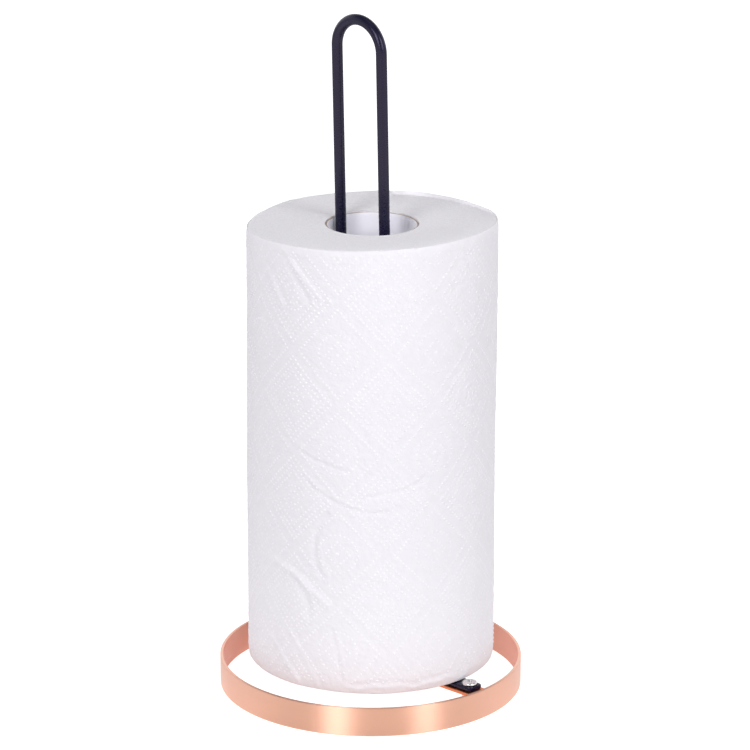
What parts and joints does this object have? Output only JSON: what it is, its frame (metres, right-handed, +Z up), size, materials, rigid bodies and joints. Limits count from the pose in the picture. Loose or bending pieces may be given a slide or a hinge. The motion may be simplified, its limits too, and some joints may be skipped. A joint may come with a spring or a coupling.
{
  "type": "paper towel holder",
  "caption": "Free-standing kitchen paper holder: a low ring base with a cross bar, a tall wire loop post screwed to it, and a paper roll that turns on the post and lifts off.",
  "frame": {"origin": "middle of the base ring, on the surface it stands on", "axes": "+Z up along the post; -Y is the front; the cross bar and the post's feet lie 43.5 degrees from +X towards -Y"},
  "size_m": [0.16, 0.16, 0.3614],
  "materials": {
    "ring_plate": "satin",
    "bar_plate": "satin",
    "post_paint": "satin",
    "fastener_zinc": "satin",
    "core_card": "matte",
    "roll_paper": "matte"
  },
  "bodies": {
    "holder": {"base_ring": "ring_plate", "cross_bar": "bar_plate", "post_loop": "post_paint", "foot_screw_front": "fastener_zinc", "foot_screw_back": "fastener_zinc", "foot_nut_front": "fastener_zinc", "foot_nut_back": "fastener_zinc"},
    "core": {"core_tube": "core_card"},
    "paper": {"paper_roll": "roll_paper"}
  },
  "joints": [
    {"name": "roll_lift", "type": "slide", "parent": "holder", "child": "core", "axis": [-0.0209, 0, 0.9998], "range_m": [0, 0.35]},
    {"name": "roll_spin", "type": "hinge", "parent": "core", "child": "paper", "pos_m": [0, 0, 0.0204], "axis": [0, 0, 1], "continuous": true}
  ]
}
